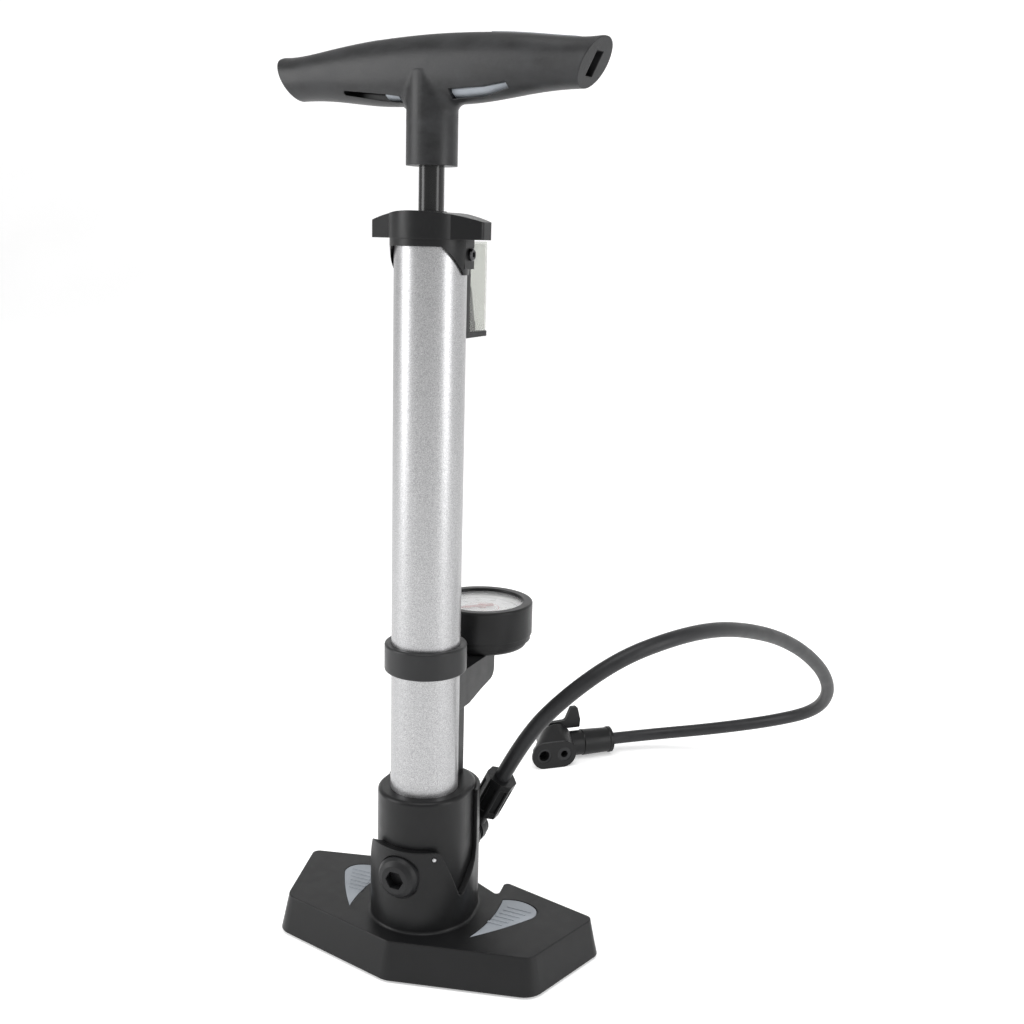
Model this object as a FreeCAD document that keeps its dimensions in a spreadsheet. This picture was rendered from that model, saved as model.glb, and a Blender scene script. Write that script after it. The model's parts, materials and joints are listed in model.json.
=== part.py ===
import FreeCAD, Part
import math
import os
import Sketcher
from FreeCAD import Placement, Rotation, Vector

# Floor bike pump. Millimetres, +Z up, the barrel's axis on Z and the floor at z = 0.
# X runs along the foot plate and the handle, +Y to the rear, where the gauge and hose are.

SIZES = {
    # foot plate, a drafted moulding with a cradle cup for the pump's foot
    "plate_top": 22.5, "plate_bottom": 1.5, "plate_draft": 12.0, "plate_skin": 3.5,
    "plate_front": 41.0, "front_corner_x": 77.0, "front_corner_y": 22.5,
    "rear_corner_x": 93.0, "rear_corner_y": 32.0, "notch_x": 31.0, "notch_outer_y": 47.7,
    "notch_inner_x": 33.6, "notch_inner_y": 31.2, "notch_centre_y": 48.0,
    "plate_wall": 4.0, "rib_half": 1.75, "centre_web": 9.0,
    "cup_front_radius": 29.8, "cup_rear_radius": 28.3, "foot_stretch": 8.0, "cup_floor": 26.0,
    "cup_top": 96.0, "ear_top": 71.0, "cup_flare": 1.4, "foot_clearance": 0.15,
    "pad_sink": 1.2, "pad_rib": 0.5,
    "rubber_foot_radius": 5.5, "rubber_foot_height": 4.0, "centre_foot_radius": 9.0,
    # pump foot and its valve
    "foot_radius": 25.9, "foot_top": 98.4, "bolt_height": 55.5, "bolt_head_radius": 12.0,
    "bolt_shank_radius": 6.0, "outlet_x": 10.0, "outlet_z": 54.0, "chamber_radius": 13.0,
    "chamber_floor": 66.0, "barrel_seat": 76.0, "gasket_thickness": 1.0, "duct_y": 22.6,
    "passage_radius": 1.6, "seat_bottom": 71.0, "seat_top": 74.5,
    # barrel, rod and piston
    "barrel_radius": 19.0, "barrel_bore": 17.8, "barrel_top": 399.0, "rod_radius": 6.6,
    "slide_gap": 0.05, "piston_bottom": 106.0, "piston_top": 120.0, "rod_top": 474.0,
    # gauge
    "duct_half_width": 11.0, "duct_top": 139.0, "gauge_y": 73.0, "gauge_floor": 161.0,
    "case_radius": 29.5, "case_step": 2.0, "case_bore": 27.5, "case_top": 185.0,
    "bezel_radius": 30.4, "bezel_bottom": 169.0, "bezel_top": 188.3, "window_radius": 24.6, "lens_thickness": 1.5,
    "dial_height": 181.5, "dial_thickness": 0.8, "nipple_y": 58.0, "spindle_radius": 0.9,
    "ring_radius": 22.7, "ring_bottom": 167.0, "ring_top": 182.5,
    # top cap
    "cap_seat": 399.3, "cap_top": 413.0, "cap_radius": 21.8, "cap_arch_radius": 102.0,
    "cap_wing_x": 32.1, "cap_wing_y": 5.4, "skirt_radius": 21.2, "skirt_bottom": 381.5,
    "bush_radius": 9.0, "lug_half_width": 11.4, "lug_rear": 25.0,
    "flat_x": 20.4, "flat_front": -1.5, "flat_length": 11.0, "flat_bottom": 384.5,
    "cap_screw_y": 5.2, "cap_screw_z": 391.9,
    # accessory holder and its clear cover
    "shelf_bottom": 347.7, "shelf_top": 350.5, "shelf_rear": 48.5, "holder_plate_rear": 25.2,
    "cover_half_width": 11.0, "cover_front": 25.5, "cover_rear": 48.0, "cover_top": 398.5,
    "cover_wall": 1.2, "cover_gap": 0.3,
    # handle, a T that stands turned about the rod
    "handle_turn": -10.0, "handle_top": 499.0, "wing_top": 493.5, "wing_flat_x": 78.0,
    "handle_half_length": 100.5, "wing_bottom": 469.6, "wing_end_x": 87.5, "handle_bottom": 465.0,
    "handle_depth": 12.8, "wing_depth": 11.5, "stem_radius": 13.2, "stem_bottom": 435.5,
    "insert_rise": 0.5, "insert_sink": 2.2,
    # hose and its fittings
    "hose_radius": 4.65, "sleeve_tilt": 26.5, "eye_y": 45.0, "eye_radius": 8.0,
    "spacer_start": 37.0, "sleeve_start": 16.0, "sleeve_end": 41.0, "sleeve_radius": 9.5,
    # pump head, laid on the floor
    "head_x": -24.1, "head_y": 266.5, "head_turn": 43.0, "head_width": 36.0, "head_height": 21.0,
    "head_axis_z": 10.5, "head_straight": 2.0, "head_hump": 20.0, "head_depth": 31.0,
    "valve_hole_x": 8.25, "seal_bore": 5.6, "schrader_radius": 4.2, "presta_radius": 2.8,
    "neck_y": 19.2, "neck_radius": 9.7, "collar_start": 29.5, "collar_length": 25.0,
    "collar_radius": 10.2, "lever_y": 27.0, "lever_z": 14.0, "lever_pin_radius": 1.5,
    "lever_hub_radius": 5.2, "knuckle_radius": 6.6,
}

# The hose's route: out of the sleeve, over in one arch and down to the head's collar.
HOSE_ROUTE = [
    (28.29, 45.0, 90.69), (42.57, 45.0, 119.33), (66.0, 48.0, 147.0), (91.0, 64.0, 168.0),
    (114.0, 92.0, 176.0), (130.0, 128.0, 174.0), (142.0, 170.0, 163.0), (153.0, 214.0, 147.0),
    (163.0, 256.0, 126.0), (171.0, 293.0, 101.0), (171.0, 322.0, 76.0), (158.0, 343.0, 53.0),
    (126.0, 353.0, 36.0), (79.0, 352.0, 21.0), (24.59, 338.17, 10.5), (2.65, 317.71, 10.5),
]
ARC_SHARE = 0.45    # part of the shorter run that a bend's arc takes up

doc = FreeCAD.newDocument("FloorPump")
sheet = doc.addObject("Spreadsheet::Sheet", "Sizes")
for row, (alias, size) in enumerate(SIZES.items(), start=1):
    sheet.set(f"A{row}", alias)
    sheet.set(f"B{row}", str(size))
    sheet.setAlias(f"B{row}", alias)
doc.recompute()
SUBPARTS = {}


# ---------------------------------------------------------------- sheet sums

def number(text):
    """The value of a sum of sheet names and plain numbers, such as 'plate_top - 3'."""
    total = 0.0
    sign = 1.0
    for word in str(text).split():
        if word in ("+", "-"):
            sign = 1.0 if word == "+" else -1.0
        else:
            total += sign * float(sheet.get(word) if word in SIZES else word)
    return total


def formula(text):
    """The same sum as an expression on the sheet's cells."""
    return " ".join("Sizes." + word if word in SIZES else word for word in str(text).split())


def bind(thing, prop, text):
    thing.setExpression(prop, formula(text))


def keep(label, piece, placement=None):
    """Names a finished sub-part and, where it has one, gives it its place."""
    if placement is not None:
        piece.Placement = placement
    piece.Label = label
    SUBPARTS[label] = piece
    return piece


# ---------------------------------------------------------------- outlines

def rounded(corners):
    """A closed path through (x, y, radius) corners, each rounded by its own radius."""
    path = []
    for index, (x, y, radius) in enumerate(corners):
        corner = Vector(x, y, 0)
        if radius == 0:
            path.append(("point", corner))
            continue
        before = (Vector(*corners[index - 1][:2], 0) - corner).normalize()
        after = (Vector(*corners[(index + 1) % len(corners)][:2], 0) - corner).normalize()
        half = before.getAngle(after) / 2
        reach = radius / math.tan(half)
        inward = (before + after).normalize()
        path.append(("point", corner + before * reach))
        path.append(("bow", corner + inward * (radius / math.sin(half) - radius)))
        path.append(("point", corner + after * reach))
    return path


def mirrored(corners):
    """Corners of the right half, with their mirror images, as one closed list."""
    left = [(-x, y, radius) for x, y, radius in reversed(corners) if x > 0]
    return corners + left


def stadium(centre_x, centre_y, width, height):
    """A path with straight long sides and half-round ends."""
    reach = width / 2 - height / 2
    low, high = centre_y - height / 2, centre_y + height / 2
    return [("point", Vector(centre_x - reach, low, 0)), ("point", Vector(centre_x + reach, low, 0)),
            ("bow", Vector(centre_x + width / 2, centre_y, 0)),
            ("point", Vector(centre_x + reach, high, 0)), ("point", Vector(centre_x - reach, high, 0)),
            ("bow", Vector(centre_x - width / 2, centre_y, 0))]


def hull(front_radius, rear_radius, stretch):
    """The outline round a circle at the origin and a second circle behind it."""
    lean = (front_radius - rear_radius) / stretch
    side = math.sqrt(1 - lean * lean)
    front = Vector(front_radius * side, front_radius * lean, 0)
    rear = Vector(rear_radius * side, stretch + rear_radius * lean, 0)
    return [("point", front), ("point", rear), ("bow", Vector(0, stretch + rear_radius, 0)),
            ("point", Vector(-rear.x, rear.y, 0)), ("point", Vector(-front.x, front.y, 0)),
            ("bow", Vector(0, -front_radius, 0))]


def path_edges(path):
    """Lines and arcs along a path. A bow is the middle of the arc between its neighbours."""
    edges = []
    for index, (kind, start) in enumerate(path):
        next_kind, following = path[(index + 1) % len(path)]
        if kind == "bow":
            continue
        if next_kind == "bow":
            edges.append(Part.Arc(start, following, path[(index + 2) % len(path)][1]))
        elif (following - start).Length > 1e-6:
            edges.append(Part.LineSegment(start, following))
    return edges


# ---------------------------------------------------------------- solids

def sketch_on(body, name, plane, level):
    """An empty sketch on the body's own plane, lifted by a level along that plane's normal."""
    sketch = body.newObject("Sketcher::SketchObject", name)
    origin_plane = [item for item in body.Origin.OriginFeatures if item.Role == plane][0]
    sketch.AttachmentSupport = (origin_plane, "")
    sketch.MapMode = "FlatFace"
    sketch.AttachmentOffset = Placement(Vector(0, 0, number(level)), Rotation())
    bind(sketch, "AttachmentOffset.Base.z", level)
    return sketch


def draw(sketch, path):
    for edge in path_edges(path):
        index = sketch.addGeometry(edge)
        sketch.addConstraint(Sketcher.Constraint("Block", index))


def prism(name, plane, level, path, length, symmetric=False, draft=None, downward=False):
    """A body padded from one closed outline on XY, XZ or YZ."""
    body = doc.addObject("PartDesign::Body", name)
    sketch = sketch_on(body, name + "_outline", plane + "_Plane", level)
    draw(sketch, path)
    pad = body.newObject("PartDesign::Pad", name + "_pad")
    pad.Profile = sketch
    bind(pad, "Length", length)
    if symmetric:
        pad.SideType = "Symmetric"
    if draft is not None:
        bind(pad, "TaperAngle", draft)
    pad.Reversed = downward
    return body


def turned(name, profile, rounds=()):
    """A body revolved about Z from (radius, height) corners, with some circular edges rounded."""
    body = doc.addObject("PartDesign::Body", name)
    sketch = sketch_on(body, name + "_profile", "XZ_Plane", "0")
    corners = [Vector(number(radius), number(height), 0) for radius, height in profile]
    for start, end in zip(corners, corners[1:] + corners[:1]):
        sketch.addGeometry(Part.LineSegment(start, end))
    for index, (radius, height) in enumerate(profile):
        following = (index + 1) % len(profile)
        sketch.addConstraint(Sketcher.Constraint("Coincident", index, 2, following, 1))
        tie_corner(sketch, index, "DistanceX", -2, radius)
        tie_corner(sketch, index, "DistanceY", -1, height)
    revolution = body.newObject("PartDesign::Revolution", name + "_turn")
    revolution.Profile = sketch
    revolution.ReferenceAxis = (sketch, ["V_Axis"])
    revolution.Angle = 360
    for count, (radius, height, size) in enumerate(rounds):
        doc.recompute()
        tip = body.Tip
        names = circle_edges(tip.Shape, number(radius), number(height))
        fillet = body.newObject("PartDesign::Fillet", f"{name}_round_{count}")
        fillet.Base = (tip, names)
        bind(fillet, "Radius", size)
    return body


def tie_corner(sketch, index, direction, axis, text):
    """Holds a corner on an axis, or at its distance from the other one."""
    if text == "0":
        sketch.addConstraint(Sketcher.Constraint("PointOnObject", index, 1, axis))
        return
    place = sketch.addConstraint(Sketcher.Constraint(direction, -1, 1, index, 1, number(text)))
    sketch.setExpression(f"Constraints[{place}]", formula(text))


def circle_edges(shape, radius, height):
    """Names of the circular edges of one radius at one height about Z."""
    names = []
    for count, edge in enumerate(shape.Edges, start=1):
        curve = edge.Curve
        if isinstance(curve, Part.Circle) and abs(curve.Radius - radius) < 0.01:
            if abs(curve.Center.z - height) < 0.01:
                names.append(f"Edge{count}")
    return names


def cylinder(name, radius, height, at=("0", "0", "0"), axis="Z"):
    """A cylinder that starts at a point and runs along +X, +Y or +Z."""
    item = doc.addObject("Part::Cylinder", name)
    bind(item, "Radius", radius)
    bind(item, "Height", height)
    turn = {"X": Rotation(Vector(0, 1, 0), 90), "Y": Rotation(Vector(1, 0, 0), -90), "Z": Rotation()}
    item.Placement = Placement(Vector(*[number(text) for text in at]), turn[axis])
    for letter, text in zip("xyz", at):
        bind(item, "Placement.Base." + letter, text)
    return item


def block(name, low, size):
    """A box from its lowest corner and its three side lengths."""
    item = doc.addObject("Part::Box", name)
    for prop, text in zip(("Length", "Width", "Height"), size):
        bind(item, prop, text)
    item.Placement = Placement(Vector(*[number(text) for text in low]), Rotation())
    for letter, text in zip("xyz", low):
        bind(item, "Placement.Base." + letter, text)
    return item


def fuse(name, shapes):
    joined = doc.addObject("Part::MultiFuse", name)
    joined.Shapes = shapes
    return joined


def cut(name, base, tools):
    """The base less all its tools."""
    result = doc.addObject("Part::Cut", name)
    result.Base = base
    result.Tool = tools[0] if len(tools) == 1 else fuse(name + "_tools", tools)
    return result


def common(name, shapes):
    result = doc.addObject("Part::MultiCommon", name)
    result.Shapes = shapes
    return result


def group(name, pieces):
    """Separate identical solids that share a node."""
    result = doc.addObject("Part::Compound", name)
    result.Links = pieces
    return result


def round_edges(name, base, radius, wanted):
    """The base with the edges that pass a test rounded."""
    doc.recompute()
    result = doc.addObject("Part::Fillet", name)
    result.Base = base
    size = number(radius)
    chosen = [count for count, edge in enumerate(base.Shape.Edges, start=1) if wanted(edge)]
    result.Edges = [(count, size, size) for count in chosen]
    return result


def at_height(height, reach=1000.0, centre_y=0.0):
    """A test for edges that lie at one height, within a reach of the axis."""
    def wanted(edge):
        ends = [vertex.Point for vertex in edge.Vertexes]
        level = all(abs(point.z - height) < 0.01 for point in ends)
        flat = edge.BoundBox.ZLength < 0.01
        near = all(math.hypot(point.x, point.y - centre_y) < reach for point in ends)
        return level and flat and near
    return wanted


# ---------------------------------------------------------------- foot plate and cradle

def plate_side_x(y, inset):
    """X of the plate's slanting right end at a depth Y, moved inward."""
    low_x, high_x = number("front_corner_x"), number("rear_corner_x")
    low_y, high_y = -number("front_corner_y"), number("rear_corner_y")
    return low_x + (high_x - low_x) * (y - low_y) / (high_y - low_y) - inset


def plate_front_y(x):
    slope = (number("plate_front") - number("front_corner_y")) / number("front_corner_x")
    return -number("plate_front") + slope * abs(x)


def plate_rear_y(x):
    """Y of the plate's rear edge: the notch behind the cradle, then the slanting wing."""
    notch, inner = number("notch_x"), number("notch_inner_x")
    if abs(x) < notch:
        drop = number("notch_centre_y") - number("notch_inner_y")
        return number("notch_centre_y") - drop * abs(x) / inner
    slope = (number("notch_outer_y") - number("rear_corner_y")) / (number("rear_corner_x") - notch)
    return number("notch_outer_y") - slope * (abs(x) - notch)


def plate_cavities():
    """Pockets under the plate, three a side, with ribs between them."""
    wall, rib, notch = number("plate_wall"), number("rib_half"), number("notch_inner_x")
    outer = 56.0
    bays = [(number("centre_web"), notch - 1.6 * wall), (notch + wall - rib, outer),
            (outer + 2 * rib, None)]
    cavities = []
    for side in (-1, 1):
        for count, (near, far) in enumerate(bays):
            near_front, near_rear = plate_front_y(near) + wall, plate_rear_y(near) - wall
            if far is None:
                far_front = plate_side_x(-number("front_corner_y") + wall, wall)
                far_rear = plate_side_x(number("rear_corner_y") - 2 * wall, wall)
            else:
                far_front = far_rear = far
            corners = [(near, near_front, 2), (far_front - 2, plate_front_y(far_front) + wall, 2),
                       (far_rear - 2, plate_rear_y(far_rear) - wall, 2), (near, near_rear, 2)]
            corners = [(side * x, y, radius) for x, y, radius in corners]
            cavities.append(prism(f"cavity_{count}_{'right' if side > 0 else 'left'}", "XY",
                                  "plate_bottom - 1", rounded(corners),
                                  "plate_top - plate_bottom - plate_skin + 1"))
    return cavities


FOOT_PLACES = [(-68.0, -14.0), (68.0, -14.0), (-80.0, 23.0), (80.0, 23.0)]


def make_base():
    outline = mirrored([(0, -number("plate_front"), 8),
                        (number("front_corner_x"), -number("front_corner_y"), 8),
                        (number("rear_corner_x"), number("rear_corner_y"), 4),
                        (number("notch_x"), number("notch_outer_y"), 2.5),
                        (number("notch_inner_x"), number("notch_inner_y"), 2),
                        (0, number("notch_centre_y"), 12)])
    plate = prism("plate", "XY", "plate_top", rounded(outline), "plate_top - plate_bottom",
                  draft="plate_draft", downward=True)
    shell = cut("plate_shell", plate, plate_cavities())
    bosses = [cylinder(f"foot_boss_{count}", "rubber_foot_radius + 1.5", "plate_top - plate_bottom - 1",
                       (str(x), str(y), "plate_bottom")) for count, (x, y) in enumerate(FOOT_PLACES)]
    cup_outline = hull(number("cup_front_radius"), number("cup_rear_radius"), number("foot_stretch"))
    cup = prism("cup", "XY", "plate_bottom + 18", cup_outline, "cup_top - plate_bottom - 18")
    boss = cylinder("swivel_boss", "eye_radius + 1", "spacer_start - 32", ("outlet_x", "32", "outlet_z"),
                    "Y")
    solid = fuse("base_solid", [shell, cup, boss] + bosses)
    inside = number("foot_radius") + number("foot_clearance")
    room = prism("cup_room", "XY", "cup_floor", hull(inside, inside, number("foot_stretch")),
                 "cup_top - cup_floor + 1")
    ear = number("ear_top")
    window = [(-45, ear, 0), (-21.2, ear, 3.2), (-11.4, 45, 3), (-9.3, 39.6, 2.5),
              (-0.6, 48, 8), (7.9, 55, 6), (11, 62, 6), (11, 110, 0), (-45, 110, 0)]
    side_window = prism("side_window", "YZ", "0", rounded(window), "80", symmetric=True)
    bolt_hole = cylinder("ear_bolt_hole", "bolt_shank_radius + 0.1", "20", ("0", "-40", "bolt_height"), "Y")
    bolt_seat = cylinder("ear_bolt_seat", "bolt_head_radius + 0.3", "12.4", ("0", "-40", "bolt_height"),
                         "Y")
    union_hole = cylinder("union_hole", "4", "20", ("outlet_x", "25", "outlet_z"), "Y")
    screw_hole = cylinder("screw_hole", "3.1", "30", ("0", "0", "0"))
    screw_seat = cylinder("screw_seat", "6.3", "8", ("0", "0", "0"))
    pockets = [cylinder(f"foot_pocket_{count}", "rubber_foot_radius", "rubber_foot_height",
                        (str(x), str(y), "0")) for count, (x, y) in enumerate(FOOT_PLACES)]
    pockets.append(cylinder("centre_pocket", "centre_foot_radius", "rubber_foot_height", ("0", "0", "0")))
    pin_hole = turned("set_pin_hole", [("0", "0"), ("1.1", "0"), ("1.1", "8"), ("0", "8")])
    pin_hole.Placement = set_pin_place(24.0)
    pad_rooms = [prism(f"pad_room_{name}", "XY", "plate_top - pad_sink", tread_path(side, 1.035), "2")
                 for side, name in ((-1, "left"), (1, "right"))]
    base = cut("base_cut", solid, [room, side_window, bolt_hole, bolt_seat, union_hole, screw_hole,
                                   screw_seat, pin_hole] + pockets + pad_rooms)
    flare = round_edges("base_flare", base, "cup_flare", at_height(number("plate_top"), 34.0, 4.0))
    keep("base", flare)


def tread_path(side, growth):
    """The grip pad's outline on one side, a fin that points forward, grown about its middle."""
    middle = Vector(50, 8, 0)
    corners = [("point", 38.4, -17.1), ("bow", 49.6, -2.7), ("point", 60.8, 15.1), ("bow", 61.8, 22.0),
               ("point", 57.6, 27.6), ("bow", 48.2, 30.3), ("point", 38.4, 27.4), ("bow", 41.0, 5.0)]
    path = []
    for kind, x, y in corners:
        point = middle + (Vector(x, y, 0) - middle) * growth
        path.append((kind, Vector(side * point.x, point.y, 0)))
    return path


def set_pin_place(radius):
    """On the right of the front ear, square to its curved face."""
    side, front, height = 18.5, -23.0, 66.9
    around = math.degrees(math.atan2(front, side))
    middle = Rotation(Vector(0, 0, 1), around)
    outward = middle.multVec(Vector(1, 0, 0))
    start = outward * radius + Vector(0, 0, height)
    return Placement(start, middle.multiply(Rotation(Vector(0, 1, 0), 90)))


def make_base_trim():
    for side, name in ((-1, "left"), (1, "right")):
        plate = prism(f"tread_{name}", "XY", "plate_top - pad_sink", tread_path(side, 1.0),
                      "pad_sink + 0.1")
        ribs = []
        for count in range(6):
            width = 9.0 + 1.2 * count
            outer_x = 49.5 + 1.9 * count
            start_x = outer_x - width if side > 0 else -outer_x
            ribs.append(block(f"rib_{name}_{count}", (str(start_x), str(1.0 + 4.0 * count), "plate_top"),
                              (str(width), "1.6", "pad_rib")))
        keep(f"base_pad_{name}", fuse(f"tread_{name}_solid", [plate] + ribs))
    feet = [turned(f"rubber_foot_{count}", [("0", "0"), ("rubber_foot_radius - 0.8", "0"),
                                            ("rubber_foot_radius", "0.8"),
                                            ("rubber_foot_radius", "rubber_foot_height"),
                                            ("0", "rubber_foot_height")])
            for count in range(len(FOOT_PLACES))]
    for foot, (x, y) in zip(feet, FOOT_PLACES):
        foot.Placement = Placement(Vector(x, y, 0), Rotation())
    keep("base_feet", group("feet_group", feet))
    keep("centre_foot", turned("centre_foot_body", [
        ("0", "0"), ("centre_foot_radius - 0.8", "0"), ("centre_foot_radius", "0.8"),
        ("centre_foot_radius", "rubber_foot_height"), ("0", "rubber_foot_height")]))
    bolt = turned("cross_bolt_blank", [
        ("0", "0"), ("bolt_shank_radius", "0"), ("bolt_shank_radius", "37.6"), ("bolt_head_radius", "37.6"),
        ("bolt_head_radius", "40.4"), ("bolt_head_radius - 1.4", "42.6"), ("bolt_head_radius - 4", "44.1"),
        ("0", "44.8")], [("bolt_head_radius", "40.4", "1.5"), ("bolt_head_radius - 1.4", "42.6", "2")])
    hexagon = [(5.5 * math.cos(math.radians(60 * turn)), 5.5 * math.sin(math.radians(60 * turn)), 0)
               for turn in range(6)]
    socket = prism("bolt_socket", "XY", "38.5", rounded(hexagon), "8")
    keep("cross_bolt", cut("cross_bolt_cut", bolt, [socket]),
         Placement(Vector(0, 10, number("bolt_height")), Rotation(Vector(1, 0, 0), 90)))
    pin = turned("set_pin_body", [("0", "0"), ("1.1", "0"), ("1.1", "4.2"), ("0.7", "4.6"), ("0", "4.6")])
    keep("set_pin", pin, set_pin_place(26.2))
    keep("foot_screw", turned("foot_screw_body", [
        ("0", "rubber_foot_height + 0.2"), ("6", "rubber_foot_height + 0.2"), ("6", "8"), ("3", "8"),
        ("3", "40"), ("0", "40")]))


# ---------------------------------------------------------------- pump foot and valve

def make_pump_foot():
    radius = number("foot_radius")
    outline = hull(radius, radius, number("foot_stretch"))
    blank = prism("foot_blank", "XY", "cup_floor", outline, "foot_top - cup_floor")
    soft_top = round_edges("foot_soft_top", blank, "2.2", at_height(number("foot_top")))
    soft = round_edges("foot_soft", soft_top, "5", at_height(number("cup_floor")))
    tools = [
        cylinder("barrel_socket", "barrel_radius", "40", ("0", "0", "barrel_seat - gasket_thickness")),
        cylinder("valve_chamber", "chamber_radius", "12", ("0", "0", "chamber_floor")),
        cylinder("foot_bolt_hole", "bolt_shank_radius", "42", ("0", "-32", "bolt_height"), "Y"),
        cylinder("foot_union_hole", "3.9", "14", ("outlet_x", "26", "outlet_z"), "Y"),
        cylinder("outlet_drilling", "passage_radius", "24", ("outlet_x", "3", "outlet_z"), "Y"),
        cylinder("outlet_riser", "passage_radius", "14", ("outlet_x", "3", "outlet_z")),
        cylinder("gauge_cross_drilling", "1.2", "10", ("0", "duct_y", "outlet_z"), "X"),
        cylinder("gauge_riser", "passage_radius", "60", ("0", "duct_y", "outlet_z")),
        cylinder("foot_screw_hole", "3", "15", ("0", "0", "25")),
    ]
    keep("pump_foot", cut("foot_cut", soft, tools))
    keep("foot_gasket", turned("foot_gasket_body", [
        ("14", "barrel_seat - gasket_thickness"), ("barrel_radius", "barrel_seat - gasket_thickness"),
        ("barrel_radius", "barrel_seat"), ("14", "barrel_seat")]))
    keep("valve_seat", turned("valve_seat_body", [
        ("4", "seat_bottom"), ("chamber_radius", "seat_bottom"), ("chamber_radius", "seat_top"),
        ("4", "seat_top")]))
    keep("check_valve", turned("check_valve_body", [
        ("0", "67.8"), ("1.8", "67.8"), ("1.8", "seat_bottom - 1.7"), ("6", "seat_bottom - 1.7"),
        ("6", "seat_bottom"), ("0", "seat_bottom")]))
    low, high = number("chamber_floor") + 0.3, number("seat_bottom") - 2.0
    helix = Part.makeHelix(1.3, high - low, 4.0)
    helix.translate(Vector(0, 0, low))
    wire = ((-0.4, -0.25), (0.4, -0.25), (0.4, 0.25), (-0.4, 0.25), (-0.4, -0.25))
    wire_corners = [Vector(4 + across, 0, low + along) for across, along in wire]
    coil = Part.Wire(helix.Edges).makePipeShell([Part.makePolygon(wire_corners)], True, True)
    spring = doc.addObject("Part::Feature", "valve_spring_coil")
    spring.Shape = coil
    keep("valve_spring", spring)


# ---------------------------------------------------------------- barrel and gauge

def make_barrel():
    keep("barrel_tube", turned("barrel_body", [
        ("barrel_bore", "barrel_seat"), ("barrel_radius", "barrel_seat"), ("barrel_radius", "barrel_top"),
        ("barrel_bore", "barrel_top")]))
    half = number("duct_half_width")
    bar = prism("duct_bar", "XY", "foot_top", rounded([(-half, 14, 0), (half, 14, 0), (half, 30, 3),
                                                        (-half, 30, 3)]), "duct_top - foot_top")
    barrel_room = cylinder("duct_barrel_room", "barrel_radius + 0.15", "60", ("0", "0", "90"))
    bore = cylinder("duct_bore", "passage_radius", "60", ("0", "duct_y", "90"))
    keep("gauge_duct", cut("duct_cut", bar, [barrel_room, bore]))
    side = [(14, 139, 0), (30, 139, 0), (45, 142.3, 8), (64, 145.5, 6), (64, 161, 0), (14, 161, 0)]
    arm = prism("bracket_arm", "YZ", "0", rounded(side), "26", symmetric=True)
    neck = prism("bracket_neck", "XY", "gauge_floor - 1",
                 rounded([(-10, 12, 0), (10, 12, 0), (10, 25.5, 2.5), (-10, 25.5, 2.5)]),
                 "ring_top - gauge_floor + 0.4")
    ring = turned("bracket_ring", [("barrel_radius", "ring_bottom"), ("ring_radius", "ring_bottom"),
                                   ("ring_radius", "ring_top"), ("barrel_radius", "ring_top")],
                  [("ring_radius", "ring_bottom", "1.2"), ("ring_radius", "ring_top", "1.2")])
    solid = fuse("bracket_solid", [arm, neck, ring])
    tools = [
        cylinder("bracket_barrel_room", "barrel_radius", "80", ("0", "0", "120")),
        cylinder("bracket_riser", "passage_radius", "14", ("0", "duct_y", "138")),
        cylinder("bracket_gallery", "1.3", "37", ("0", "21.5", "150.5"), "Y"),
        cylinder("nipple_hole", "4", "16", ("0", "nipple_y", "150")),
    ]
    keep("gauge_bracket", cut("bracket_cut", solid, tools))


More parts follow.
